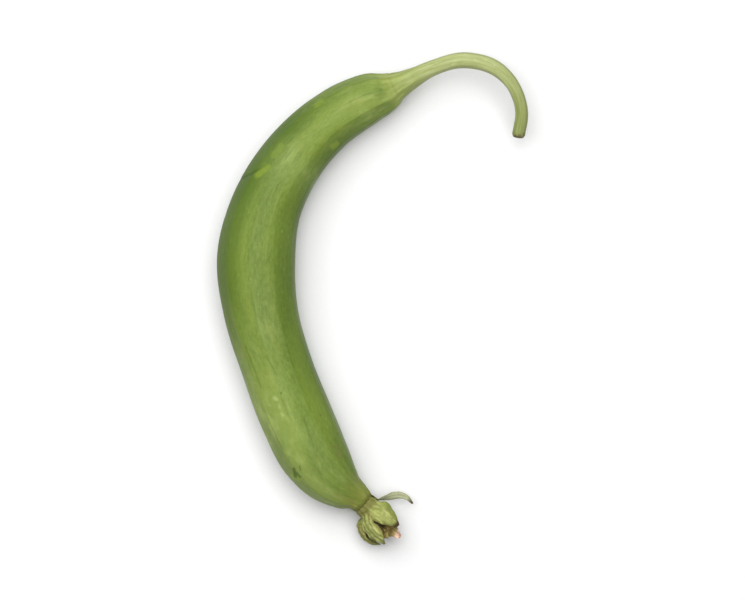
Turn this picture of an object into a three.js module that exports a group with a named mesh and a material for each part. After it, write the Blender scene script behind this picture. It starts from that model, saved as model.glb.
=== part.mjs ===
// Sponge gourd (luffa), lying on its side as picked: a ribbed, curved fruit with its hooked stem and,
// at the other end, the calyx with the withered flower.
// Millimetres, +Z up. The surface it lies on is z = 0, and the origin is below the middle of its outline.
import * as THREE from 'three';

// ---- driving dimensions ----

// Fruit: [x, y, height of the middle, radius] along its middle line, from the stem to the flower.
const FRUIT_STATIONS = [
  [11.0, 91.0, 12.2, 6.3],
  [5.5, 88.2, 11.2, 9.2],
  [-1.0, 85.6, 11.1, 10.9],
  [-17.8, 76.0, 12.0, 12.4],
  [-33.8, 59.8, 13.2, 13.8],
  [-44.8, 39.8, 14.5, 15.2],
  [-49.4, 16.5, 16.1, 16.8],
  [-47.6, -5.0, 15.2, 16.0],
  [-40.6, -29.0, 14.5, 15.3],
  [-31.9, -52.0, 14.7, 15.5],
  [-24.2, -68.0, 14.0, 14.7],
  [-16.9, -77.6, 12.8, 12.1],
  [-11.1, -82.7, 11.8, 8.9],
  [-6.4, -85.7, 11.2, 6.3],
  [-3.2, -88.6, 10.8, 4.9],
];
const RIBS = 10;
const POINTS_PER_RIB = 4;
const RIB_DEPTH = 0.022;      // of the radius, along most of the fruit
const RIB_DEPTH_AT_STEM = 0.09;
const DEEP_RIBS_SHARE = 0.16; // of the fruit's length, over which the deeper ribs at the stem fade out
const FRUIT_RINGS = 60;
const RING_CROWDING = 0.45;   // 0 spaces the rings evenly, 1 crowds them most towards the ends

// Stem: its foot runs straight on from the fruit, as [distance, radius], and the rest is
// [x, y, height of the middle, radius] as far as the cut.
const STEM_FOOT = [[0, 5.7], [7.7, 4.3]];
const STEM_STATIONS = [
  [25.6, 98.2, 16.2, 3.5],
  [40.4, 101.7, 19.2, 3.45],
  [52.6, 98.5, 19.8, 3.3],
  [60.7, 90.9, 18.6, 2.85],
  [64.5, 80.0, 16.2, 2.75],
  [63.2, 69.3, 13.6, 2.9],
];
const STEM_RIDGES = 5;
const POINTS_PER_RIDGE = 3;
const RIDGE_DEPTH = 0.1;      // of the radius
const STEM_RINGS = 34;

// Calyx: in a local frame whose +Z runs straight out of the fruit's end, +Y up and +X to one side.
const TUBE_PROFILE = [[0, 0], [4.3, 0], [5.1, 0.7], [5.9, 2.3], [0, 2.3]];
const TUBE_SEGMENTS = 24;
const GAP = 0.3;              // between pieces that touch
const SEPAL_THICKNESS = 0.8;
const PETAL_THICKNESS = 0.55;
const PETAL_RIPPLE = 0.25;
const BLADE_ROWS = 12;
const BLADE_COLUMNS = 4;

// A blade runs outwards along [distance from the axis, height along it, half width], wrapped round the
// axis at the angle given by its middle line, in degrees.
const SEPALS = {
  sepal_hood: {
    angle: 62,
    path: [[5.2, 3.0, 3.6], [8.0, 6.5, 6.6], [7.9, 9.8, 5.8], [7.4, 12.1, 4.2],
      [6.8, 14.0, 2.8], [5.9, 16.6, 0.8]],
  },
  sepal_left: {
    angle: 148,
    path: [[5.2, 3.0, 2.3], [8.0, 6, 4.5], [9.0, 10, 5.4], [9.1, 13, 5.1],
      [8.6, 15.8, 2.7], [8.0, 17.8, 0.7]],
  },
  sepal_lower_left: {
    angle: 194,
    path: [[5.2, 3.0, 1.3], [8.8, 4.1, 3.5], [11.1, 7.2, 4.0], [11.7, 11.2, 3.8],
      [10.8, 14.8, 2.7], [8.8, 17.4, 0.7]],
  },
  sepal_under: {
    angle: 264,
    path: [[5.2, 3.0, 2.2], [8.0, 6.5, 4.2], [8.1, 11, 4.2], [6.0, 15, 2.4], [4.4, 17, 0.5]],
  },
  sepal_curled: {
    angle: -14,
    path: [[5.2, 3.0, 1.7], [7.2, 4.0, 1.9], [11.2, 5.9, 1.9], [14.0, 8.6, 1.6],
      [15.2, 12.0, 1.1], [14.6, 16.0, 0.4]],
  },
};
// The first petal sticks out of the mouth that the sepals leave, and the second fills it.
const PETALS = [
  {
    angle: 90,
    path: [[2.6, 2.9, 1.2], [4.2, 7, 2.2], [4.4, 11, 2.7], [3.6, 15, 2.2],
      [2.9, 18.5, 2.2], [2.7, 21.0, 2.0]],
  },
  { angle: 156, path: [[2.6, 2.9, 1.2], [5.2, 7, 3.2], [6.2, 11, 4.8], [5.9, 15, 4.3], [5.3, 17.6, 3.0]] },
  { angle: 222, path: [[2.6, 2.9, 1.2], [4.0, 7, 2.0], [4.2, 11, 2.2], [3.9, 15, 2.0], [3.6, 18.6, 1.4]] },
  { angle: 308, path: [[2.6, 2.9, 1.2], [3.7, 7, 1.7], [3.0, 11, 1.3], [2.1, 14.5, 0.8]] },
  { angle: 24, path: [[2.6, 2.9, 1.2], [3.7, 7, 1.7], [3.0, 11, 1.3], [2.1, 15.5, 0.8]] },
];
// Style: [height along the axis, radius].
const STYLE_PATH = [[2.6, 0.9], [7, 0.7], [10.5, 0.8], [11.5, 1.1], [12.4, 0.7]];
const STYLE_SEGMENTS = 8;

const COLOURS = {
  fruit: [0x7f9748, 0.5],
  stem: [0xb4c07f, 0.6],
  calyx: [0xa3a863, 0.7],
  petal: [0xa9744a, 0.85],
  style: [0x5f4a22, 0.85],
};

// ---- helpers ----

const HALF_STEP = 0.005;      // of a spline's length, where its direction is measured

// A smooth line through a table of rows. All the columns but the last are a place, and the distances
// between the places set the pace.
class Spline {
  constructor(rows) {
    this.rows = rows;
    this.gaps = rows.slice(1).map((row, i) => {
      return Math.hypot(...row.slice(0, -1).map((value, column) => value - rows[i][column]));
    });
    this.length = this.gaps.reduce((sum, gap) => sum + gap);
  }

  // How much a column rises for each millimetre, from one row to the next.
  pace(row, column) {
    return (this.rows[row + 1][column] - this.rows[row][column]) / this.gaps[row];
  }

  // The same, right at a row.
  slope(row, column) {
    if (row === 0) return this.pace(0, column);
    if (row === this.gaps.length) return this.pace(row - 1, column);
    const share = this.gaps[row - 1] / (this.gaps[row - 1] + this.gaps[row]);
    return THREE.MathUtils.lerp(this.pace(row - 1, column), this.pace(row, column), share);
  }

  // The row of numbers a share t of the way along.
  at(t) {
    let row = 0;
    let left = THREE.MathUtils.clamp(t, 0, 1) * this.length;
    while (row < this.gaps.length - 1 && left > this.gaps[row]) {
      left -= this.gaps[row];
      row += 1;
    }
    const gap = this.gaps[row];
    const f = left / gap;
    return this.rows[row].map((start, column) => {
      const rise = this.rows[row + 1][column] - start;
      const slopeIn = this.slope(row, column) * gap;
      const slopeOut = this.slope(row + 1, column) * gap;
      const bend = 3 * rise - 2 * slopeIn - slopeOut;
      return start + f * (slopeIn + f * (bend + f * (slopeIn + slopeOut - 2 * rise)));
    });
  }

  // The direction of the line there, as the place's own numbers.
  direction(t) {
    const before = this.at(t - HALF_STEP);
    const steps = this.at(t + HALF_STEP).slice(0, -1).map((value, column) => value - before[column]);
    const size = Math.hypot(...steps);
    return steps.map((value) => value / size);
  }
}

// The middle of the first of two stations, and the direction that leads to it from the second.
function endOf([x, y, z], neighbour) {
  const point = new THREE.Vector3(x, y, z);
  return { point, outward: point.clone().sub(new THREE.Vector3(...neighbour.slice(0, 3))).normalize() };
}

// A closed solid through rings of the same number of points, with a flat fan over each end. The rings
// run anticlockwise seen from the far end.
function loft(rings) {
  const count = rings[0].length;
  const positions = rings.flat().flatMap((p) => [p.x, p.y, p.z]);
  const index = [];
  for (let r = 0; r + 1 < rings.length; r++) {
    for (let k = 0; k < count; k++) {
      const a = r * count + k;
      const b = r * count + (k + 1) % count;
      index.push(a, b, b + count, a, b + count, a + count);
    }
  }
  for (const last of [false, true]) {
    const ring = last ? rings.length - 1 : 0;
    const middle = new THREE.Vector3();
    rings[ring].forEach((p) => middle.addScaledVector(p, 1 / count));
    const hub = positions.length / 3;
    positions.push(middle.x, middle.y, middle.z);
    for (let k = 0; k < count; k++) {
      const a = ring * count + k;
      const b = ring * count + (k + 1) % count;
      index.push(...(last ? [a, b, hub] : [b, a, hub]));
    }
  }
  const geometry = new THREE.BufferGeometry();
  geometry.setAttribute('position', new THREE.Float32BufferAttribute(positions, 3));
  geometry.setIndex(index);
  geometry.computeVertexNormals();
  return geometry;
}

function piece(name, geometry, [colour, roughness]) {
  const material = new THREE.MeshStandardMaterial({ color: colour, roughness, metalness: 0 });
  const mesh = new THREE.Mesh(geometry, material);
  mesh.name = name;
  return mesh;
}

// Rings in upright planes across a line of stations: each is a circle of the station's radius, with a
// wave of crests cut into it, and is flattened where it would go below the surface.
function ribbedRings({ stations, ringCount, crests, pointsPerCrest, depthAt, crowding }) {
  const line = new Spline(stations);
  const points = crests * pointsPerCrest;
  return Array.from({ length: ringCount }, (_, i) => {
    const even = i / (ringCount - 1);
    const t = THREE.MathUtils.lerp(even, 0.5 - 0.5 * Math.cos(Math.PI * even), crowding);
    const [x, y, z, radius] = line.at(t);
    const ahead = new THREE.Vector3(...line.direction(t));
    const side = new THREE.Vector3(-ahead.y, ahead.x, 0).normalize();
    const up = ahead.clone().cross(side);
    return Array.from({ length: points }, (_, k) => {
      const fromBelow = 2 * Math.PI * (k / points);
      const dip = 0.5 + 0.5 * Math.cos(crests * fromBelow);
      const reach = radius * (1 - depthAt(t) * dip);
      const p = new THREE.Vector3(x, y, z);
      p.addScaledVector(side, reach * Math.sin(fromBelow)).addScaledVector(up, -reach * Math.cos(fromBelow));
      p.z = Math.max(p.z, 0);
      return p;
    });
  });
}

// A thin curved blade wrapped round the local Z axis.
function bladeGeometry({ angle, path }, thickness, ripple = 0) {
  const line = new Spline(path);
  const surface = (u, v, lift) => {
    const [out, along, half] = line.at(u);
    const [outwards, onwards] = line.direction(u);
    const wave = ripple * Math.sin(9 * u + 3 * v);
    const reach = out + wave + lift * onwards;
    const turn = THREE.MathUtils.degToRad(angle) + v * half / out;
    return new THREE.Vector3(reach * Math.cos(turn), reach * Math.sin(turn), along - lift * outwards);
  };
  const across = Array.from({ length: BLADE_COLUMNS + 1 }, (_, c) => 1 - 2 * c / BLADE_COLUMNS);
  const rings = Array.from({ length: BLADE_ROWS + 1 }, (_, r) => {
    const u = r / BLADE_ROWS;
    const inner = across.map((v) => surface(u, v, -thickness / 2));
    const outer = across.map((v) => surface(u, v, thickness / 2)).reverse();
    return [...inner, ...outer];
  });
  return loft(rings);
}

// ---- pieces ----

function fruit() {
  const depthAt = (t) => {
    const faded = THREE.MathUtils.smoothstep(t, 0, DEEP_RIBS_SHARE);
    return THREE.MathUtils.lerp(RIB_DEPTH_AT_STEM, RIB_DEPTH, faded);
  };
  const rings = ribbedRings({
    stations: FRUIT_STATIONS,
    ringCount: FRUIT_RINGS,
    crests: RIBS,
    pointsPerCrest: POINTS_PER_RIB,
    depthAt,
    crowding: RING_CROWDING,
  });
  return piece('fruit', loft(rings), COLOURS.fruit);
}

function stem() {
  const { point, outward } = endOf(FRUIT_STATIONS[0], FRUIT_STATIONS[1]);
  const foot = STEM_FOOT.map(([distance, radius]) => {
    return [...point.clone().addScaledVector(outward, GAP + distance), radius];
  });
  const rings = ribbedRings({
    stations: [...foot, ...STEM_STATIONS],
    ringCount: STEM_RINGS,
    crests: STEM_RIDGES,
    pointsPerCrest: POINTS_PER_RIDGE,
    depthAt: () => RIDGE_DEPTH,
    crowding: 0,
  });
  return piece('stem', loft(rings), COLOURS.stem);
}

// A solid turned round the local Z axis, from [radius, height] rows.
function turned(name, profile, segments, colour) {
  const points = profile.map(([radius, height]) => new THREE.Vector2(radius, height));
  return piece(name, new THREE.LatheGeometry(points, segments).rotateX(Math.PI / 2), colour);
}

function calyxTube() {
  return turned('calyx_tube', TUBE_PROFILE, TUBE_SEGMENTS, COLOURS.calyx);
}

function sepals() {
  return Object.entries(SEPALS).map(([name, shape]) => {
    return piece(name, bladeGeometry(shape, SEPAL_THICKNESS), COLOURS.calyx);
  });
}

function petals() {
  return PETALS.map((shape, i) => {
    return piece(`petal_${i + 1}`, bladeGeometry(shape, PETAL_THICKNESS, PETAL_RIPPLE), COLOURS.petal);
  });
}

function style() {
  const wall = STYLE_PATH.map(([height, radius]) => [radius, height]);
  const profile = [[0, STYLE_PATH[0][0]], ...wall, [0, STYLE_PATH.at(-1)[0]]];
  return turned('style', profile, STYLE_SEGMENTS, COLOURS.style);
}

// The calyx group, in its own frame at the fruit's flower end.
function calyx() {
  const { point, outward } = endOf(FRUIT_STATIONS.at(-1), FRUIT_STATIONS.at(-2));
  const sideways = new THREE.Vector3(0, 0, 1).cross(outward).normalize();
  const upward = outward.clone().cross(sideways);
  const group = new THREE.Group();
  group.add(calyxTube(), ...sepals(), ...petals(), style());
  group.quaternion.setFromRotationMatrix(new THREE.Matrix4().makeBasis(sideways, upward, outward));
  group.position.copy(point).addScaledVector(outward, GAP);
  return group;
}

const gourd = new THREE.Group();
gourd.add(fruit(), stem(), calyx());

export default gourd;
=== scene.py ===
"""How the sponge gourd looks: its rind, stalk, calyx and withered flower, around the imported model.

Tables of shapes are in millimetres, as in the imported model's source, and in its frame: the gourd lies on
z = 0 with its stem end towards +Y and bends towards +X. Meshes are scaled to metres as they are made.
"""
import math

import bpy
import numpy as np
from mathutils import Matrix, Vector, noise


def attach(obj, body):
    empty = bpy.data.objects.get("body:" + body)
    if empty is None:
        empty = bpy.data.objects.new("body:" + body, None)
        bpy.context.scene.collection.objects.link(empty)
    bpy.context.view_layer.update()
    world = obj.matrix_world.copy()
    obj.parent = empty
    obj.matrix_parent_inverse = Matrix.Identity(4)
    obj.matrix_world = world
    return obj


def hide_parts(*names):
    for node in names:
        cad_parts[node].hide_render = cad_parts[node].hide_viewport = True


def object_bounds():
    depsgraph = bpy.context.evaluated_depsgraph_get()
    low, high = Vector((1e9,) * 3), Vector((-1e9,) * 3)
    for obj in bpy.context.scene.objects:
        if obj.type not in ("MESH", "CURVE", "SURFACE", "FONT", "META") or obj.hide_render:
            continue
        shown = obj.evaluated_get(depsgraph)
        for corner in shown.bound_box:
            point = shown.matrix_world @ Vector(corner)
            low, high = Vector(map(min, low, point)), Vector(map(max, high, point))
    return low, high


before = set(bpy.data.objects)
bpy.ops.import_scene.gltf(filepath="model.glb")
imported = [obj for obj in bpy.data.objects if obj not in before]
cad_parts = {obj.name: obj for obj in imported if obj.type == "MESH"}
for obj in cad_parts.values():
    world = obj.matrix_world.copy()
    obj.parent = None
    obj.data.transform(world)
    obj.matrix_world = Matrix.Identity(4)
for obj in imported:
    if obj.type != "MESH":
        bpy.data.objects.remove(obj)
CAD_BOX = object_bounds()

MM = 0.001
TAU = 2 * math.pi

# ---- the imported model's own tables, repeated ----

# Fruit: [x, y, height of the middle, radius] along its middle line, from the stem to the flower.
FRUIT_STATIONS = [
    [11.0, 91.0, 12.2, 6.3], [5.5, 88.2, 11.2, 9.2], [-1.0, 85.6, 11.1, 10.9], [-17.8, 76.0, 12.0, 12.4],
    [-33.8, 59.8, 13.2, 13.8], [-44.8, 39.8, 14.5, 15.2], [-49.4, 16.5, 16.1, 16.8],
    [-47.6, -5.0, 15.2, 16.0], [-40.6, -29.0, 14.5, 15.3], [-31.9, -52.0, 14.7, 15.5],
    [-24.2, -68.0, 14.0, 14.7], [-16.9, -77.6, 12.8, 12.1], [-11.1, -82.7, 11.8, 8.9],
    [-6.4, -85.7, 11.2, 6.3], [-3.2, -88.6, 10.8, 4.9],
]
# Stem: its foot runs straight on from the fruit, as [distance, radius], and the rest is as the fruit's.
STEM_FOOT = [[0, 5.7], [7.7, 4.3]]
STEM_STATIONS = [
    [25.6, 98.2, 16.2, 3.5], [40.4, 101.7, 19.2, 3.45], [52.6, 98.5, 19.8, 3.3],
    [60.7, 90.9, 18.6, 2.85], [64.5, 80.0, 16.2, 2.75], [63.2, 69.3, 13.6, 2.9],
]
GAP = 0.3
# Sepals: angle round the calyx (degrees), and [distance from its axis, height along it, half width].
SEPALS = {
    "sepal_hood": (62, [
        [5.2, 3.0, 3.6], [8.0, 6.5, 6.6], [7.9, 9.8, 5.8], [7.4, 12.1, 4.2], [6.8, 14.0, 2.8],
        [5.9, 16.6, 0.8]]),
    "sepal_left": (148, [
        [5.2, 3.0, 2.3], [8.0, 6, 4.5], [9.0, 10, 5.4], [9.1, 13, 5.1], [8.6, 15.8, 2.7],
        [8.0, 17.8, 0.7]]),
    "sepal_lower_left": (194, [
        [5.2, 3.0, 1.3], [8.8, 4.1, 3.5], [11.1, 7.2, 4.0], [11.7, 11.2, 3.8], [10.8, 14.8, 2.7],
        [8.8, 17.4, 0.7]]),
    "sepal_under": (264, [
        [5.2, 3.0, 2.2], [8.0, 6.5, 4.2], [8.1, 11, 4.2], [6.0, 15, 2.4], [4.4, 17, 0.5]]),
    "sepal_curled": (-14, [
        [5.2, 3.0, 1.7], [7.2, 4.0, 1.9], [11.2, 5.9, 1.9], [14.0, 8.6, 1.6], [15.2, 12.0, 1.1],
        [14.6, 16.0, 0.4]]),
}
# Petals: the same, from the one that sticks out of the mouth.
PETALS = [
    (90, [[2.6, 2.9, 1.2], [4.2, 7, 2.2], [4.4, 11, 2.7], [3.6, 15, 2.2], [2.9, 18.5, 2.2],
          [2.7, 21.0, 2.0]]),
    (156, [[2.6, 2.9, 1.2], [5.2, 7, 3.2], [6.2, 11, 4.8], [5.9, 15, 4.3], [5.3, 17.6, 3.0]]),
    (222, [[2.6, 2.9, 1.2], [4.0, 7, 2.0], [4.2, 11, 2.2], [3.9, 15, 2.0], [3.6, 18.6, 1.4]]),
    (308, [[2.6, 2.9, 1.2], [3.7, 7, 1.7], [3.0, 11, 1.3], [2.1, 14.5, 0.8]]),
    (24, [[2.6, 2.9, 1.2], [3.7, 7, 1.7], [3.0, 11, 1.3], [2.1, 15.5, 0.8]]),
]
# Style: [height along the calyx's axis, radius].
STYLE_PATH = [[2.6, 0.9], [7, 0.7], [10.5, 0.8], [11.5, 1.1], [12.4, 0.7]]

# ---- what the looks add to those shapes ----

FRUIT_RINGS = 430
FRUIT_POINTS = 200
FRUIT_SKIN = 16.0                 # radius of the straight roll that its skin is laid out on
RIBS = 10
RIB_TURN = math.radians(9)        # of the first rib line from the underside, towards the inner side
RIB_WANDER = math.radians(5)      # how far a rib line strays as it runs along the fruit
RIB_ROUNDING = math.radians(3.5)  # of the corner where two flats meet at a rib line
RIB_LINE_HEIGHT = 0.1
RIB_LINE_HALF_WIDTH = 0.55
FACET = 0.32                      # 0 is round between the ribs, 1 is flat
NECK_FACET = 0.6                  # more of it at the stem

STEM_RINGS = 300
STEM_POINTS = 120
STEM_SKIN = 3.4                   # radius of its skin's roll
STEM_RIDGES = 5
STEM_TWIST = math.radians(27)     # of the ridges, from end to end
FOOT_SKIN = 6.0                   # radius of the roll for the skin that stem and fruit share
ROOT_LENGTH = 6.0                 # along which the stem's section turns into the fruit's
ROOT_SKIN = 0.06                  # how far the stem's skin lies over the fruit's
TOE_LENGTH = 2.4                  # of the skin that runs back over the fruit
TOE_RINGS = 24
# The rounded rim of the cut end and the hollow in it: share of the stem's radius, height beyond its end.
CUT_FACE = [(0.96, 0.25), (0.84, 0.4), (0.66, 0.1), (0.3, -0.2)]

# Directions out of the fruit, as angles from the underside over the inner side.
INNER_SIDE = math.radians(105)
TOP = math.radians(180)
OUTER_TOP = math.radians(-130)
OUTER_SIDE = math.radians(-100)

# Marks on the rind: what, where it runs seen from above (x, y), half width, strength.
MARKS = [
    ("scar", [(-56.2, 50.3), (-50.2, 53.5), (-44.1, 57.1)], 0.9, 0.85),
    ("fresh", [(-48.6, 52.4), (-44.6, 55.8)], 2.2, 0.45),
    ("fresh", [(-41.8, 60.6), (-38.6, 64.4)], 2.0, 0.25),
    ("fresh", [(-16.4, 64.4), (-14.8, 65.9)], 1.7, 0.5),
    ("fresh", [(-23.6, 82.6), (-21.6, 84.2)], 1.8, 0.35),
    ("pale", [(-41.2, -42.8), (-40.4, -43.5)], 1.1, 0.48),
    ("pale", [(-39.3, -46.2), (-39.0, -46.9)], 0.7, 0.3),
    ("pale", [(-38.4, -49.5), (-37.5, -50.3)], 0.9, 0.36),
    ("pale", [(-43.5, -45.5), (-43.1, -46.2)], 0.7, 0.25),
    ("fresh", [(-33.4, -76.2), (-31.0, -77.8)], 1.6, 0.55),
    ("dark", [(-38.6, -40.6), (-38.4, -40.8)], 0.6, 0.8),
    ("dark", [(-33.0, -73.6), (-32.4, -76.6)], 1.1, 0.85),
    ("dark", [(-32.0, -75.2), (-30.6, -76.8)], 0.9, 0.7),
    ("dark", [(-30.8, -71.8), (-30.2, -73.6)], 0.5, 0.6),
    ("dark", [(-53.8, -21.1), (-50.3, -30.0), (-47.1, -38.4)], 0.7, 0.35),
    ("dark", [(-45.1, -25.2), (-43.0, -28.2), (-40.0, -33.3)], 0.6, 0.35),
    ("dark", [(-28.7, -51.2), (-24.7, -63.9)], 0.7, 0.4),
    ("bruise", [(-15.2, -64.2), (-13.8, -66.8)], 2.4, 0.5),
]


# ---- helpers for shapes ----

def unit(vectors):
    return vectors / np.linalg.norm(vectors, axis=-1, keepdims=True)


def smooth(low, high, x):
    """0 below low, 1 above high and a soft step between; low may be the greater."""
    t = np.clip((np.asarray(x, float) - low) / (high - low), 0, 1)
    return t * t * (3 - 2 * t)


def steps(rows, x):
    """The number at x from a table of (place, number), with a soft step from each row to the next."""
    number = rows[0][1]
    for (start, before), (end, after) in zip(rows, rows[1:]):
        number = number + (after - before) * smooth(start, end, x)
    return number


def spline(rows, t):
    """The smooth row of numbers at t, a share of the way along a table of rows. t may be an array. All the
    columns but the last are a place, and the distances between the places set the pace."""
    rows = np.asarray(rows, float)
    gaps = np.linalg.norm(np.diff(rows[:, :-1], axis=0), axis=1)
    knots = np.concatenate([[0], np.cumsum(gaps)]) / gaps.sum()
    pace = np.diff(rows, axis=0) / gaps[:, None]
    weight = (gaps[:-1] / (gaps[:-1] + gaps[1:]))[:, None]
    slopes = np.vstack([pace[:1], weight * pace[1:] + (1 - weight) * pace[:-1], pace[-1:]])
    t = np.clip(np.asarray(t, float), 0, 1)
    i = np.clip(np.searchsorted(knots, t, side="right") - 1, 0, len(rows) - 2)
    f = ((t - knots[i]) / (knots[i + 1] - knots[i]))[..., None]
    start, rise, gap = rows[i], rows[i + 1] - rows[i], gaps[i][..., None]
    slope_in, slope_out = slopes[i] * gap, slopes[i + 1] * gap
    return start + f * (slope_in + f * (3 * rise - 2 * slope_in - slope_out
                                        + f * (slope_in + slope_out - 2 * rise)))


def rough(points, scale, seed):
    """Smooth noise, about -1 to 1, at each of the points (an array that ends in three columns)."""
    flat = np.asarray(points, float).reshape(-1, 3) * scale + seed
    values = [noise.noise(Vector(p)) for p in flat]
    return np.array(values).reshape(np.shape(points)[:-1])


class Spine:
    """The middle line of a swept piece, from a table of [x, y, z, radius]."""

    def __init__(self, stations):
        self.stations = stations
        places = np.array(stations)[:, :3]
        self.length = np.linalg.norm(np.diff(places, axis=0), axis=1).sum()

    def at(self, distance):
        """Middle, radius, and the directions ahead, sideways and up, at distances along the line."""
        t = np.asarray(distance) / self.length
        row = spline(self.stations, t)
        step = 1e-3
        ahead = unit((spline(self.stations, t + step) - spline(self.stations, t - step))[..., :3])
        side = unit(np.cross([0, 0, 1], ahead))
        return row[..., :3], row[..., 3], ahead, side, np.cross(ahead, side)


def direction_out(station, neighbour):
    return unit(np.array(station[:3]) - np.array(neighbour[:3]))


def ring_grid(spine, distance, angle, radius):
    """Points round the spine: angle runs from the underside towards the inner side, radius is a grid."""
    middle, _, _, side, up = spine.at(distance)
    across = np.sin(angle)[None, :, None] * side[:, None] - np.cos(angle)[None, :, None] * up[:, None]
    return middle[:, None] + radius[..., None] * across


def add_piece(name, rings, material, attributes, instead_of):
    """A closed mesh through rings of points (millimetres), with a fan over each end. Attributes are grids
    with a number, or three, for each point; a fan's hub takes the mean of its ring."""
    rings = np.asarray(rings, float)
    count, width = rings.shape[:2]
    hubs = rings[[0, -1]].mean(axis=1)
    vertices = np.vstack([rings.reshape(-1, 3), hubs]) * MM
    r, k = np.meshgrid(np.arange(count - 1), np.arange(width), indexing="ij")
    a, b = r * width + k, r * width + (k + 1) % width
    faces = np.stack([a, b, b + width, a + width], axis=-1).reshape(-1, 4).tolist()
    first_hub, last = count * width, (count - 1) * width
    for j in range(width):
        after = (j + 1) % width
        faces.append([after, j, first_hub])
        faces.append([last + j, last + after, first_hub + 1])
    mesh = bpy.data.meshes.new(name)
    mesh.from_pydata(vertices.tolist(), [], faces)
    for key, grid in attributes.items():
        grid = np.asarray(grid, float)
        vector = grid.ndim == 3
        flat = grid.reshape(count * width, -1)
        ends = np.stack([grid[0].reshape(width, -1).mean(0), grid[-1].reshape(width, -1).mean(0)])
        made = mesh.attributes.new(key, "FLOAT_VECTOR" if vector else "FLOAT", "POINT")
        made.data.foreach_set("vector" if vector else "value", np.vstack([flat, ends]).ravel())
    mesh.shade_smooth()
    mesh.materials.append(material)
    piece = bpy.data.objects.new(name, mesh)
    bpy.context.scene.collection.objects.link(piece)
    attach(piece, "root")
    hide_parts(instead_of)


# ---- helpers for materials ----

def linear(code):
    """A colour written as sRGB hex, as linear numbers."""
    channels = [int(code[i:i + 2], 16) / 255 for i in (0, 2, 4)]
    return (*[c / 12.92 if c <= 0.04045 else ((c + 0.055) / 1.055) ** 2.4 for c in channels], 1.0)


class Tree:
    """A material's nodes, written as calls: each adds a node and gives back its output."""

    def __init__(self, name):
        self.material = bpy.data.materials.new(name)
        self.material.use_nodes = True
        self.nodes = self.material.node_tree.nodes
        self.links = self.material.node_tree.links
        self.nodes.clear()

    def node(self, kind, inputs, output=0, **settings):
        made = self.nodes.new(f"ShaderNode{kind}")
        for key, value in settings.items():
            setattr(made, key, value)
        for key, value in inputs.items():
            if isinstance(value, bpy.types.NodeSocket):
                self.links.new(value, made.inputs[key])
            else:
                made.inputs[key].default_value = value
        return made.outputs[output]

    def attribute(self, name, output="Fac"):
        return self.node("Attribute", {}, output, attribute_name=name)

    def times(self, a, b):
        return self.node("Math", {0: a, 1: b}, operation="MULTIPLY")

    def noise(self, vector, scale, detail, roughness=0.5):
        """Noise from 0 to 1, with a scale for each axis of the vector."""
        placed = self.node("VectorMath", {0: vector, 1: scale}, operation="MULTIPLY")
        return self.node("TexNoise", {"Vector": placed, "Scale": 1.0, "Detail": detail,
                                      "Roughness": roughness})

    def specks(self, vector, scale, size):
        """1 in the middle of scattered round specks, 0 outside them."""
        placed = self.node("VectorMath", {0: vector, 1: scale}, operation="MULTIPLY")
        away = self.node("TexVoronoi", {"Vector": placed, "Scale": 1.0})
        return self.band(away, size, size * 0.4)

    def band(self, value, low, high, most=1.0):
        """A soft step from 0 at low to most at high."""
        return self.node("MapRange", {"Value": value, "From Min": low, "From Max": high, "To Min": 0.0,
                                      "To Max": most}, interpolation_type="SMOOTHSTEP")

    def mix(self, factor, a, b):
        return self.node("Mix", {0: factor, 6: a, 7: b}, 2, data_type="RGBA")

    def bump(self, height, distance, normal=None):
        inputs = {"Height": height, "Distance": distance, "Strength": 1.0}
        if normal:
            inputs["Normal"] = normal
        return self.node("Bump", inputs)

    def finish(self, colour, roughness, normal, **uniform):
        """Ends the tree in a shader; uniform values are the shader's own sockets, by name."""
        inputs = {"Base Color": colour, "Roughness": roughness, "Normal": normal}
        inputs.update({key.replace("_", " "): value for key, value in uniform.items()})
        shader = self.node("BsdfPrincipled", inputs)
        surface = self.nodes.new("ShaderNodeOutputMaterial").inputs["Surface"]
        self.links.new(shader, surface)
        return self.material


# ---- materials ----

def foot_colour(t):
    """The colour where the stem spreads onto the fruit, the same on both."""
    streaks = t.noise(t.attribute("foot_skin", "Vector"), (0.5, 0.5, 0.1), 4.0, 0.6)
    return t.mix(t.band(streaks, 0.36, 0.66), linear("717d39"), linear("86914f"))


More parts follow.
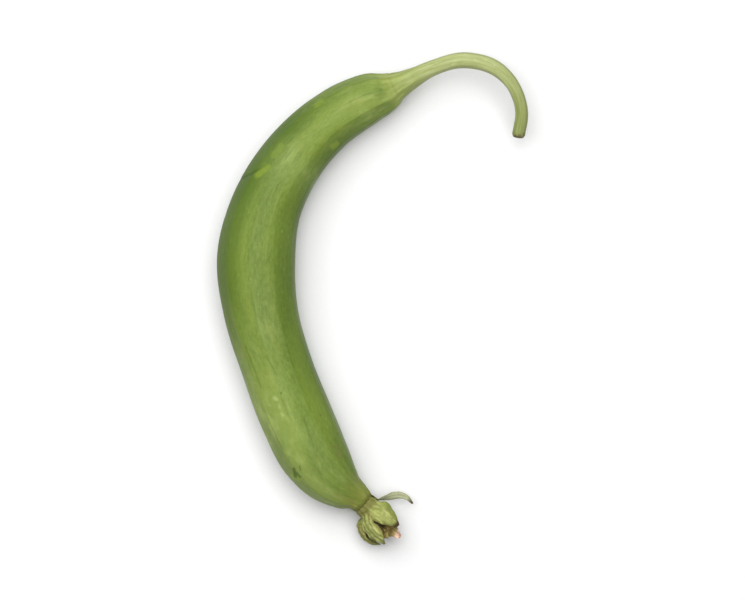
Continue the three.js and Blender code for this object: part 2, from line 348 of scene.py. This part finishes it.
def rind_material():
    t = Tree("rind")
    skin = t.attribute("skin", "Vector")
    # Broad cloudy greens, some of them more yellow, and soft streaks that run along the fruit.
    clouds = t.noise(skin, (0.07, 0.07, 0.02), 3.0)
    colour = t.mix(t.band(clouds, 0.34, 0.66), linear("4f6220"), linear("64762c"))
    warm = t.noise(skin, (0.09, 0.09, 0.035), 2.0, 0.6)
    colour = t.mix(t.band(warm, 0.54, 0.72, 0.3), colour, linear("6c7726"))
    streaks = t.noise(skin, (0.3, 0.3, 0.025), 3.0, 0.55)
    colour = t.mix(t.band(streaks, 0.5, 0.78, 0.3), colour, linear("78883f"))
    colour = t.mix(t.band(streaks, 0.48, 0.24, 0.3), colour, linear("435a1c"))
    mottle = t.noise(skin, (0.9, 0.9, 0.4), 4.0, 0.65)
    colour = t.mix(t.band(mottle, 0.35, 0.7, 0.22), colour, linear("82964b"))
    colour = t.mix(t.band(mottle, 0.45, 0.25, 0.22), colour, linear("4a5c22"))
    # Painted shade: a deeper green down the flanks and round the shoulder, where shade falls.
    colour = t.mix(t.attribute("painted_shade"), colour, linear("43581b"))
    # Paler by the stem, its own tone; painted light on the top and the outer flank; in blotches.
    blotches = t.noise(skin, (0.2, 0.2, 0.11), 3.0, 0.6)
    pale_tone_and_painted_light = t.attribute("pale_tone_and_painted_light")
    colour = t.mix(t.times(pale_tone_and_painted_light, 0.24), colour, linear("8c9a5e"))
    colour = t.mix(t.times(pale_tone_and_painted_light, t.band(blotches, 0.46, 0.7, 0.42)), colour, linear("929f5a"))
    # Rib lines: dark green, broken along their length. The crest attribute is the distance from one.
    breaks = t.noise(skin, (0.25, 0.25, 0.05), 3.0, 0.7)
    line = t.times(t.band(t.attribute("crest"), 0.9, 0.15), t.band(breaks, 0.45, 0.65, 0.4))
    colour = t.mix(line, colour, linear("43581a"))
    # Short pale dashes and sparse dark specks.
    dashes = t.noise(skin, (1.4, 1.4, 0.35), 2.0, 0.6)
    colour = t.mix(t.band(dashes, 0.67, 0.76, 0.35), colour, linear("93a663"))
    specks = t.specks(skin, (0.17, 0.17, 0.13), 0.06)
    colour = t.mix(t.times(specks, 0.7), colour, linear("34491a"))
    # Marks of growth and handling.
    for mark, tint in (("pale", "a3af72"), ("fresh", "788b2c"), ("bruise", "5f6530"), ("dark", "41560f"),
                       ("scar", "2f4815")):
        colour = t.mix(t.attribute(mark), colour, linear(tint))
    # The ends: paler towards the stem, olive towards the flower.
    colour = t.mix(t.attribute("stem_end"), colour, foot_colour(t))
    olive = t.mix(t.band(clouds, 0.38, 0.62), linear("656d2e"), linear("797d3a"))
    colour = t.mix(t.attribute("flower_end"), colour, olive)
    # Darker round the neck: partly its own colour, partly painted shade in the constriction.
    colour = t.mix(t.attribute("neck_tone_and_shade"), colour, linear("4a4c1e"))
    grain = t.noise(skin, (2.4, 2.4, 0.9), 3.0, 0.6)
    gloss = t.node("MapRange", {"Value": streaks, "From Min": 0.3, "From Max": 0.7, "To Min": 0.5,
                                "To Max": 0.4})
    normal = t.bump(streaks, 0.2 * MM, t.bump(grain, 0.05 * MM))
    return t.finish(colour, gloss, normal, Subsurface_Weight=0.06, Subsurface_Scale=1.0 * MM,
                    Specular_IOR_Level=0.18, IOR=1.4)


def stalk_material():
    t = Tree("stalk")
    skin = t.attribute("skin", "Vector")
    streaks = t.noise(skin, (0.9, 0.9, 0.05), 4.0, 0.6)
    colour = t.mix(t.band(streaks, 0.35, 0.65), linear("838a51"), linear("9aa16d"))
    flecks = t.noise(skin, (1.1, 1.1, 0.3), 3.0, 0.6)
    colour = t.mix(t.band(flecks, 0.6, 0.74, 0.5), colour, linear("b9bf8c"))
    olive = t.mix(t.band(streaks, 0.35, 0.65), linear("6a733b"), linear("80874e"))
    colour = t.mix(t.attribute("olive"), colour, olive)
    colour = t.mix(t.times(t.attribute("valley"), 0.2), colour, linear("6f7c38"))
    colour = t.mix(t.band(flecks, 0.4, 0.3, 0.35), colour, linear("6b7a35"))
    colour = t.mix(t.attribute("foot"), colour, foot_colour(t))
    stain = t.times(t.attribute("near_cut"), t.band(flecks, 0.25, 0.6, 0.95))
    colour = t.mix(stain, colour, linear("4f4a28"))
    colour = t.mix(t.attribute("cut"), colour, linear("4a4228"))
    grain = t.noise(skin, (3.0, 3.0, 0.6), 3.0, 0.6)
    normal = t.bump(streaks, 0.2 * MM, t.bump(grain, 0.06 * MM))
    return t.finish(colour, 0.5, normal, Subsurface_Weight=0.08, Subsurface_Scale=0.8 * MM,
                    Specular_IOR_Level=0.28)


def leaf_material():
    """For the sepals and the collar: veined and folded, with a dry brown margin, root and tip, and painted
    shade.
    """
    t = Tree("calyx")
    leaf = t.attribute("leaf", "Vector")
    mottle = t.noise(leaf, (0.45, 0.28, 0.45), 4.0, 0.6)
    colour = t.mix(t.band(mottle, 0.34, 0.66), linear("797f3e"), linear("9ba15a"))
    veins = t.noise(leaf, (1.7, 0.14, 1.7), 3.0, 0.6)
    colour = t.mix(t.band(veins, 0.52, 0.66, 0.4), colour, linear("b8ba80"))
    colour = t.mix(t.band(veins, 0.44, 0.3, 0.4), colour, linear("62642a"))
    colour = t.mix(t.attribute("pale"), colour, linear("a0a388"))
    # A deeper green down one side of the hood, partly painted shade where it curves down.
    colour = t.mix(t.times(t.attribute("deep_green_and_shade"), 0.75), colour, linear("697926"))
    # Painted shade in the creases and under the sepals, and a darker root that is partly painted shade.
    colour = t.mix(t.attribute("crease_shade_and_root_tone"), colour, linear("5c5b24"))
    patches = t.noise(leaf, (0.8, 0.8, 0.8), 2.0)
    edge = t.times(t.attribute("margin"), t.band(patches, 0.35, 0.6))
    colour = t.mix(edge, colour, linear("766d3c"))
    stain = t.noise(leaf, (0.7, 0.5, 0.7), 3.0, 0.7)
    colour = t.mix(t.band(stain, 0.6, 0.72, 0.5), colour, linear("645629"))
    colour = t.mix(t.attribute("dry"), colour, linear("3f3314"))
    grain = t.noise(leaf, (3.5, 1.0, 3.5), 3.0)
    normal = t.bump(veins, 0.3 * MM, t.bump(grain, 0.1 * MM))
    return t.finish(colour, 0.65, normal, Subsurface_Weight=0.05, Subsurface_Scale=0.6 * MM,
                    Specular_IOR_Level=0.3)


def petal_material():
    t = Tree("petal")
    leaf = t.attribute("leaf", "Vector")
    crumple = t.noise(leaf, (0.9, 0.35, 0.9), 4.0, 0.65)
    colour = t.mix(t.band(crumple, 0.35, 0.65), linear("463b14"), linear("8f7d42"))
    # Painted shade: near black towards the root, deep in the mouth.
    colour = t.mix(t.attribute("painted_deep_shade"), colour, linear("1d1806"))
    colour = t.mix(t.attribute("olive"), colour, linear("9d9659"))
    patches = t.noise(leaf, (0.8, 0.8, 0.8), 3.0)
    blush = t.mix(t.band(patches, 0.4, 0.62), linear("a0745c"), linear("dcc0a8"))
    colour = t.mix(t.attribute("bright"), colour, blush)
    fibre = t.noise(leaf, (3.0, 0.3, 3.0), 3.0)
    colour = t.mix(t.band(fibre, 0.55, 0.7, 0.45), colour, linear("a98658"))
    normal = t.bump(fibre, 0.2 * MM, t.bump(crumple, 0.4 * MM))
    return t.finish(colour, 0.75, normal, Subsurface_Weight=0.05, Subsurface_Scale=0.5 * MM,
                    Specular_IOR_Level=0.3)


def style_material():
    t = Tree("style")
    leaf = t.attribute("leaf", "Vector")
    fibre = t.noise(leaf, (2.5, 0.5, 2.5), 4.0, 0.65)
    colour = t.mix(t.band(fibre, 0.35, 0.65), linear("3f2f14"), linear("7a6030"))
    return t.finish(colour, 0.8, t.bump(fibre, 0.3 * MM))


def floor_material():
    t = Tree("floor")
    place = t.node("TexCoord", {}, "Object")
    grain = t.noise(place, (600.0, 600.0, 600.0), 2.0)
    colour = t.mix(grain, linear("d0d0d0"), linear("d2d2d2"))
    return t.finish(colour, 0.9, t.bump(grain, 0.02 * MM), Specular_IOR_Level=0.2)


# ---- pieces ----

def path_distance(points, path):
    """How far plan points are from a path of [x, y], and the share of the path at the nearest place."""
    path = np.array(path, float)
    lengths = np.linalg.norm(np.diff(path, axis=0), axis=1)
    starts = np.concatenate([[0], np.cumsum(lengths)]) / lengths.sum()
    best = np.full(points.shape[:-1], np.inf)
    share = np.zeros(points.shape[:-1])
    for i, (a, b) in enumerate(zip(path[:-1], path[1:])):
        along = np.clip(((points - a) @ (b - a)) / lengths[i] ** 2, 0, 1)
        away = np.linalg.norm(points - a - along[..., None] * (b - a), axis=-1)
        nearer = away < best
        best = np.where(nearer, away, best)
        share = np.where(nearer, starts[i] + along * (starts[i + 1] - starts[i]), share)
    return best, share


def mark_grids(plan, facing_up, ragged):
    """For each kind of mark, how strong it is at each point seen from above."""
    grids = {kind: np.zeros(plan.shape[:-1]) for kind in ("scar", "fresh", "pale", "dark", "bruise")}
    for kind, path, width, strength in MARKS:
        away, share = path_distance(plan, path)
        here = strength * smooth(1, 0.25, away / width + 0.35 * ragged)
        if kind == "scar":
            here *= 1 - 0.75 * share
        grids[kind] = np.maximum(grids[kind], here * facing_up)
    return grids


def around(radius, angle, distance):
    """Places on a swept piece's skin, laid on a straight roll of that radius so that noise has no seam."""
    return np.stack(np.broadcast_arrays(radius * np.sin(angle)[None], -radius * np.cos(angle)[None],
                                        distance[:, None]), axis=-1)


def foot_skin(angle, reach):
    """Places on the skin where the stem meets the fruit, the same for both: the angle is the fruit's, and
    the reach is out along the stem."""
    return around(FOOT_SKIN, angle, reach)


def facing(angle, way, low, high):
    """1 where the skin faces that way and 0 where it faces well away from it, between two cosines."""
    return smooth(low, high, np.cos(angle - way))


def fruit_form(spine, distance, angle):
    """The fruit's radius, without marks and wrinkles, its places on the roll of skin, and how far each
    point is from a rib line."""
    radius = spine.at(distance)[1][:, None]
    skin = around(FRUIT_SKIN, angle, distance)
    wander = RIB_WANDER * rough(around(0.0, angle[:1], distance), 0.02, 3.7)
    spacing = TAU / RIBS
    from_rib = (angle[None] - RIB_TURN - wander + spacing / 2) % spacing - spacing / 2
    crest = np.abs(from_rib) * radius
    # Flat facets between the ribs, deeper near the stem, and a fine raised line on each rib.
    rounded = np.hypot(from_rib, RIB_ROUNDING) - RIB_ROUNDING
    facet = 1 - math.cos(spacing / 2) / np.cos(rounded - spacing / 2)
    shape = 1 - facet * (FACET + NECK_FACET * smooth(34, 4, distance)[:, None])
    uneven = 0.6 + 0.8 * rough(skin, (0.05, 0.05, 0.12), 9.1)
    raised = RIB_LINE_HEIGHT * np.exp(-(crest / RIB_LINE_HALF_WIDTH) ** 2) * uneven
    # Broad lumps and small ones, and some more by the stem, that die away at both ends.
    lumps = 0.34 * rough(skin, (0.045, 0.045, 0.022), 1.3) + 0.1 * rough(skin, (0.16, 0.16, 0.05), 5.9)
    lumps += 0.35 * smooth(42, 14, distance)[:, None] * rough(skin, (0.14, 0.14, 0.09), 2.6)
    calm = smooth(0, 8, distance) * smooth(spine.length, spine.length - 8, distance)
    # A rounded shoulder closes in round the stem's foot.
    closing = 1 - 0.06 * smooth(2.0, 0, distance) ** 2
    return (radius * shape + (raised + lumps) * calm[:, None]) * closing[:, None], skin, crest


def fruit_tints(spine, skin, distance, angle):
    """How strong each tint of the rind is at each point. The tables hold (distance from the stem end,
    strength)."""
    along = distance[:, None]
    end = spine.length
    ragged = 4.5 * rough(skin, (0.2, 0.2, 0.1), 7.3)
    # Painted shade, a deeper green: down the inner side, and on the outer side of the stem half.
    inner_length = steps([(155, 0.45), (175, 0.2)], along)
    inner_shade = inner_length * facing(angle, INNER_SIDE, 0.5, 0.85)
    outer_length = steps([(6, 0), (14, 0.35), (30, 0.35), (50, 1), (75, 1), (90, 0.85), (105, 0.85),
                          (150, 0)], along)
    outer_shade = outer_length * facing(angle, OUTER_SIDE, 0.25, 0.95)
    # The stem's foot runs out over the shoulder in ragged fibres, and past them the shoulder is darker with
    # painted shade.
    fibres = 0.3 * ragged + 1.2 * rough(skin, (0.8, 0.8, 0.12), 5.3)
    from_stem = along + fibres * smooth(TOE_LENGTH, 5, along)
    shoulder = steps([(4, 0), (7, 0.22), (8.5, 0.22), (11.5, 0)], from_stem)
    # Paler: all round the stem end and a patch further on, as its own tone; and painted light, a painted
    # highlight on the top of the middle and of the tip, and on the outer top of the flower half.
    patch = steps([(46, 0.15), (62, 1)], along) * steps([(50, 1), (75, 0)], along)
    stem_half = steps([(14, 0.6), (36, 0)], along) + patch
    middle = steps([(102, 0), (116, 0.35), (132, 0.35), (152, 0)], along)
    tip = steps([(172, 0), (188, 0.45), (end - 16, 0.45), (end - 4, 0)], along)
    flower_half = steps([(110, 0), (160, 1), (end - 16, 1), (end - 4, 0)], along)
    flower_half = flower_half * steps([(150, 0.8), (172, 1.15)], along)
    painted_outer_light = flower_half * facing(angle, OUTER_TOP, 0.55, 0.95)
    painted_top_highlight = (middle + tip) * facing(angle, TOP, 0.8, 0.95)
    pale_tone_and_painted_light = np.maximum(np.maximum(stem_half, painted_outer_light), painted_top_highlight)
    return {
        # All of this is painted shade.
        "painted_shade": np.maximum(np.maximum(inner_shade, outer_shade), shoulder),
        "pale_tone_and_painted_light": pale_tone_and_painted_light * (1 - 0.8 * outer_shade),
        "stem_end": smooth(6.6, TOE_LENGTH, from_stem),
        # The neck's darker band is partly painted shade in the constriction.
        "neck_tone_and_shade": 0.75 * smooth(end - 2.6, end - 0.2, along + 0.2 * ragged),
        "flower_end": 0.85 * smooth(end - 15, end - 3, along + ragged),
    }


def fruit_piece(material):
    spine = Spine(FRUIT_STATIONS)
    # Rings lie closer together towards both ends.
    even = np.linspace(0, 1, FRUIT_RINGS)
    distance = spine.length * (0.6 * even + 0.4 * (0.5 - 0.5 * np.cos(math.pi * even)))
    angle = TAU * np.arange(FRUIT_POINTS) / FRUIT_POINTS
    radius, skin, crest = fruit_form(spine, distance, angle)
    # Wrinkles towards the flower.
    near_tip = smooth(spine.length - 7, spine.length, distance)[:, None]
    radius *= 1 + near_tip * (0.03 * np.cos(14 * angle + 2.0)[None] + 0.05 * rough(skin, 0.5, 4.0))
    points = ring_grid(spine, distance, angle, radius)
    facing_up = facing(angle, TOP, 0, 0.2)[None]
    marks = mark_grids(points[..., :2], facing_up, rough(points, 0.7, 2.2))
    dents = 0.3 * marks["scar"] + 0.25 * marks["dark"]
    points = ring_grid(spine, distance, angle, radius - dents)
    # Flat where it rests on the surface.
    points[..., 2] = np.maximum(points[..., 2], 0)
    attributes = {"skin": skin, "crest": crest, "foot_skin": foot_skin(angle, -distance)}
    attributes.update(marks)
    attributes.update(fruit_tints(spine, skin, distance, angle))
    add_piece("fruit_rind", points, material, attributes, "fruit")


def fillet(away):
    """How much fuller the skin is where the stem meets the fruit, at distances from there."""
    return 0.22 * np.exp(-(away / 1.3) ** 2)[:, None]


def stem_spine():
    outward = direction_out(FRUIT_STATIONS[0], FRUIT_STATIONS[1])
    start = np.array(FRUIT_STATIONS[0][:3])
    foot = [[*(start + outward * (GAP + reach)), radius] for reach, radius in STEM_FOOT]
    return Spine(foot + STEM_STATIONS)


def stem_piece(material):
    spine = stem_spine()
    distance = np.linspace(0, spine.length, STEM_RINGS)
    angle = TAU * np.arange(STEM_POINTS) / STEM_POINTS
    radius = spine.at(distance)[1][:, None]
    twist = STEM_TWIST * (distance / spine.length)[:, None]
    wave = np.cos(STEM_RIDGES * (angle[None] + RIB_TURN - twist))
    # The ridges are deeper at the foot, and the cut end has a rounded rim.
    at_foot = smooth(16, 0, distance)[:, None]
    rim = 1 - 0.14 * smooth(spine.length - 1.0, spine.length, distance)[:, None] ** 2
    skin = around(STEM_SKIN, angle, distance)
    bumps = 0.2 * rough(skin, (0.12, 0.12, 0.07), 4.4) + 0.07 * rough(skin, (0.5, 0.5, 0.2), 8.2)
    grid_radius = (radius * (1 + (0.014 + 0.036 * at_foot) * wave) + bumps) * rim
    # At its root the stem has the fruit's own section, with a soft fillet between the two.
    fruit = Spine(FRUIT_STATIONS)
    root = fruit_form(fruit, np.zeros(1), -angle)[0] + ROOT_SKIN
    grid_radius += (root - grid_radius[:1]) * smooth(ROOT_LENGTH, 0, distance)[:, None] + fillet(distance)
    points = ring_grid(spine, distance, angle, grid_radius)
    # Its skin runs back over the fruit's shoulder and sinks into it.
    toe_reach = np.linspace(TOE_LENGTH, 0, TOE_RINGS, endpoint=False)
    far = toe_reach[:, None] / TOE_LENGTH
    toe_skin = ROOT_SKIN * (1 - 1.4 * far ** 2 - 0.6 * smooth(0.8, 1, far))
    toe_radius = fruit_form(fruit, toe_reach, -angle)[0] + toe_skin + fillet(toe_reach)
    toes = ring_grid(fruit, toe_reach, -angle, toe_radius)
    end, _, ahead, _, _ = spine.at(spine.length)
    face = [end + (points[-1] - end) * share + ahead * height for share, height in CUT_FACE]
    rings = np.concatenate([toes, points, np.array(face)])

    def extended(grid, at_toes, at_face):
        """A grid over the points, with a value for the toes and the cut face before and after it."""
        grid = np.broadcast_to(grid, (len(points), STEM_POINTS))
        return np.vstack([np.broadcast_to(at_toes, (len(toes), STEM_POINTS)), grid,
                          np.full((len(face), STEM_POINTS), at_face)])

    reach = np.concatenate([-toe_reach, distance, spine.length + np.arange(len(face))])
    valley = smooth(0.2, -1, wave)
    ragged = distance + 3 * rough(skin[:, 0], 0.15, 3.0)
    to_cut = distance[:, None] - spine.length
    attributes = {
        "skin": around(STEM_SKIN, angle, reach),
        "foot_skin": foot_skin(-angle, reach),
        "valley": extended(valley, valley[:1], 0.0),
        "foot": extended(smooth(17, 2, ragged)[:, None], 1.0, 0.0),
        "olive": extended(smooth(0.62, 0.9, distance / spine.length)[:, None], 0.0, 1.0),
        "near_cut": extended(smooth(-2.6, -0.6, to_cut + rough(skin, 0.5, 6.0)), 0.0, 1.0),
        "cut": extended(smooth(-0.7, 0, to_cut), 0.0, 1.0),
    }
    add_piece("stalk", rings, material, attributes, "stem")


def calyx_frame():
    """The calyx's own directions, as columns, and its origin: +Z runs straight out of the fruit, +Y up."""
    outward = direction_out(FRUIT_STATIONS[-1], FRUIT_STATIONS[-2])
    sideways = unit(np.cross([0, 0, 1], outward))
    upward = np.cross(outward, sideways)
    return np.column_stack([sideways, upward, outward]), np.array(FRUIT_STATIONS[-1][:3]) + outward * GAP


CALYX_TURN, CALYX_ORIGIN = calyx_frame()


def in_calyx(points):
    return points @ CALYX_TURN.T + CALYX_ORIGIN


def blade_piece(name, path, angle, material, slot, instead_of, seed, thickness=0.5, rows=90, columns=36,
                cup=0.0, folds=0.0, spacing=2.2, wave=0.0, crumple=0.0, twist=0.0, joined=0.0, rounded=0.0,
                pale=0.0, dry=1.0, shade=0.0, tints=None):
    """A thin leaf wrapped round the calyx's axis. cup pulls its margins in, folds raises pleats along it at
    that spacing, wave ruffles the margins, crumple bends it all over and joined widens it into its
    neighbours by the tube, in millimetres; twist turns it, in degrees, as it runs out, and rounded rounds
    off its end, from 0 to 1. pale and dry tint it, shade darkens it as painted shade, and tints has
    functions of u and v for more."""
    # u runs along the leaf from its root, and v across its inner face (-1) and back over its outer one (1).
    u = np.linspace(0, 1, rows)[:, None]
    v = np.cos(np.linspace(0, math.pi, columns))[None]
    v = np.concatenate([v, v[:, ::-1]], axis=1)
    face = np.concatenate([-np.ones(columns), np.ones(columns)])[None]
    out, along, half = np.moveaxis(spline(path, u[:, 0]), -1, 0)[..., None]
    # Wider by the tube, where neighbours grow together, and drawn in at a rounded end.
    half = half + joined * smooth(7.6, 4.5, along)
    half = half * np.sqrt(1 - rounded * smooth(0.84, 1, u) ** 2)
    step = 0.02
    slope = unit((spline(path, u[:, 0] + step) - spline(path, u[:, 0] - step))[:, :2])
    turned = math.radians(twist) * smooth(0.1, 0.6, u)
    across = v * half
    place = np.stack(np.broadcast_arrays(across, along + out, np.full_like(across, seed)), axis=-1)
    edge = np.abs(v)
    # How far the skin lies off a smooth blade: cup, pleats, ruffles, crumpling and half the thickness.
    lift = -cup * edge ** 3 * half / half.max()
    sway = across + 0.5 * rough(place, 0.25, seed + 9)
    pleat = np.cos(TAU * sway / spacing) * smooth(0, 0.15, u) * smooth(1, 0.8, u)
    lift = lift + folds * pleat
    lift = lift + wave * edge ** 2 * np.sin(9 * u + 2.5 * v + seed)
    lift = lift + crumple * rough(place, 0.42, seed) + 0.5 * crumple * rough(place, 1.1, seed + 5)
    lift = lift + face * 0.5 * thickness * (1 - 0.8 * edge ** 6) * (1 - 0.5 * smooth(0.8, 1, u))
    # Twisted, with one margin held down, and laid round the calyx's axis.
    raised = lift * np.cos(turned) + (across - 0.8 * half) * np.sin(turned)
    aside = across * np.cos(turned) - lift * np.sin(turned)
    reach = np.maximum(out + raised * slope[:, 1:2], 0.3)
    height = along - raised * slope[:, 0:1]
    turn = math.radians(angle) + aside / out
    rings = np.stack([reach * np.cos(turn), reach * np.sin(turn), height], axis=-1)
    # Painted shade in the pleats' creases; darker by the root, partly its own tone and partly painted
    # shade.
    crease_shade_and_root_tone = 3.2 * folds * smooth(0.4, -1, pleat) + 0.85 * smooth(0.34, 0.08, u) + shade
    attributes = {
        "leaf": place,
        "margin": smooth(0.7, 1.0, edge) * smooth(0.15, 0.5, u),
        "dry": dry * smooth(0.82, 0.98, u) + 0 * v,
        "crease_shade_and_root_tone": np.clip(crease_shade_and_root_tone, 0, 0.9),
        "pale": np.full_like(across, pale),
    }
    for key, tint in (tints or {}).items():
        attributes[key] = tint(u, v)
    add_piece(name, in_calyx(rings), material, attributes, instead_of)


def deeper_green_shaded_flank(u, v):
    """Down one side of the hood, from a little past its root: deeper green, partly painted shade where it
    curves down.
    """
    return smooth(0.0, -0.7, v) * smooth(0.25, 0.45, u)


SEPAL_LOOKS = {
    "sepal_hood": dict(seed=1.0, cup=1.0, folds=0.07, spacing=2.6, wave=0.2, crumple=0.35, joined=1.3,
                       dry=1.4, tints={"deep_green_and_shade": deeper_green_shaded_flank}),
    "sepal_left": dict(seed=2.0, cup=1.0, folds=0.2, wave=0.4, crumple=0.5, joined=1.3, dry=0.45),
    "sepal_lower_left": dict(seed=3.0, cup=2.3, folds=0.2, spacing=1.9, wave=0.3, crumple=0.5, joined=0.8,
                             dry=0.3, shade=0.4),
    "sepal_under": dict(seed=4.0, cup=1.0, folds=0.15, wave=0.3, crumple=0.4, joined=1.0, dry=0.6),
    "sepal_curled": dict(seed=5.0, cup=-0.3, folds=0.06, spacing=1.4, wave=0.15, crumple=0.2, twist=65.0,
                         pale=0.75, columns=20),
}


def sepal_pieces(material):
    for name, (angle, path) in SEPALS.items():
        # Each one's root runs down inside the collar.
        width = path[0][2] + 1.2
        root = [[4.5, -1.0, 0.8 * width], [5.0, 0.9, width]]
        blade_piece(f"{name}_leaf", root + path, angle, material, "calyx", name, **SEPAL_LOOKS[name])


def petal_tints(sticks_out):
    """The petal that sticks out of the mouth has a bright tip, and the others an olive one; all have
    painted shade by the root.
    """
    return {
        "olive": lambda u, v: (1 - sticks_out) * 0.55 * smooth(0.7, 0.95, u) + 0 * v,
        "bright": lambda u, v: sticks_out * smooth(0.79, 0.92, u + 0.03 * np.sin(7 * v)),
        "painted_deep_shade": lambda u, v: 0.8 * smooth(0.75, 0.4, u) + 0 * v,
    }


def petal_pieces(material):
    for i, (angle, path) in enumerate(PETALS):
        blade_piece(f"withered_petal_{i + 1}", path, angle, material, "petal", f"petal_{i + 1}",
                    seed=11.0 + i, thickness=0.35, rows=80, columns=28, crumple=1.0, wave=0.6, dry=0.0,
                    rounded=0.8, tints=petal_tints(i == 0))


def revolved(profile, points, wave):
    """Angles, and rings round the calyx's axis through [radius, height, share of the wave] rows; the wave
    widens and narrows a ring by angle."""
    angle = TAU * np.arange(points) / points
    radius = profile[:, :1] * (1 + wave(angle)[None] * profile[:, 2:3])
    height = profile[:, 1:2] + 0 * radius
    return angle, np.stack([radius * np.cos(angle), radius * np.sin(angle), height], axis=-1)


def collar_piece(material):
    """The calyx's ribbed tube, drawn in round the fruit's tip, with its mouth turned inwards."""
    rows = [[3.4, -0.9, 0.2], [4.4, -0.4, 0.6], [4.5, 0.5, 1.0], [4.6, 1.6, 1.0], [4.6, 2.6, 0.8],
            [4.5, 3.2, 0.6], [4.2, 3.6, 0.5], [3.8, 3.2, 0.4], [2.0, 2.4, 0.1]]
    profile = spline(rows, np.linspace(0, 1, 60))
    height = profile[:, 1:2]
    angle, rings = revolved(profile, 120, lambda a: 0.045 * np.cos(15 * a + 0.7) + 0.03 * np.cos(5 * a))
    leaf = np.stack(np.broadcast_arrays(5 * angle[None], 2 * height, np.full((1, 1), 8.0)), axis=-1)
    nothing = np.zeros(rings.shape[:2])
    # It is darkened all over like the sepals' roots, and its base is a dry brown; both partly painted
    # shade.
    attributes = {
        "leaf": leaf, "margin": nothing, "pale": nothing, "crease_shade_and_root_tone": nothing + 0.75,
        "dry": 0.65 * smooth(2.2, 0.0, height) + nothing,
    }
    add_piece("calyx_collar", in_calyx(rings), material, attributes, "calyx_tube")


def style_piece(material):
    rows = [[radius, height, 1.0] for height, radius in STYLE_PATH]
    profile = spline(rows, np.linspace(0, 1, 50))
    angle, rings = revolved(profile, 40, lambda a: 0.16 * np.cos(3 * a) + 0.05 * np.cos(11 * a))
    leaf = np.stack(np.broadcast_arrays(angle[None], profile[:, 1:2], np.zeros((1, 1))), axis=-1)
    add_piece("dried_style", in_calyx(rings), material, {"leaf": leaf}, "style")


# ---- studio ----

def floor_piece(material):
    half = 2.0
    corners = [(-half, -half, 0), (half, -half, 0), (half, half, 0), (-half, half, 0)]
    mesh = bpy.data.meshes.new("floor")
    mesh.from_pydata(corners, [], [(0, 1, 2, 3)])
    mesh.materials.append(material)
    floor = bpy.data.objects.new("floor", mesh)
    bpy.context.scene.collection.objects.link(floor)


def area_light(name, place, size, power):
    """A round light at that place, turned to the middle of the gourd."""
    lamp = bpy.data.lights.new(name, "AREA")
    lamp.shape = "DISK"
    lamp.size = size
    lamp.energy = power
    light = bpy.data.objects.new(name, lamp)
    bpy.context.scene.collection.objects.link(light)
    light.location = place
    back = Vector(place) - Vector((0, 0, 0.015))
    light.rotation_euler = back.to_track_quat("Z", "Y").to_euler()


def studio():
    """A wide soft light from the upper left of the picture, one from overhead, and a faint even one."""
    floor_piece(floor_material())
    area_light("key", (-0.3, 0.43, 0.95), 1.3, 14.4)
    area_light("top", (0.15, 0.1, 1.2), 1.2, 10.9)
    world = bpy.data.worlds.new("studio")
    world.use_nodes = True
    background = world.node_tree.nodes["Background"]
    background.inputs["Color"].default_value = (1, 1, 1, 1)
    background.inputs["Strength"].default_value = 0.35
    bpy.context.scene.world = world
    bpy.context.scene.view_settings.view_transform = "Standard"


def camera():
    """Looks straight down, with the gourd's stem end at the top of the picture."""
    low, high = CAD_BOX
    centre = (low + high) / 2
    view_width = 0.31974  # across the whole picture
    data = bpy.data.cameras.new("camera")
    data.lens = 200
    data.sensor_width = 36
    distance = data.lens / data.sensor_width * view_width
    made = bpy.data.objects.new("camera", data)
    bpy.context.scene.collection.objects.link(made)
    made.location = (centre.x, centre.y, centre.z + distance)
    bpy.context.scene.camera = made


studio()
camera()
fruit_piece(rind_material())
stem_piece(stalk_material())
green_leaf = leaf_material()
sepal_pieces(green_leaf)
petal_pieces(petal_material())
collar_piece(green_leaf)
style_piece(style_material())
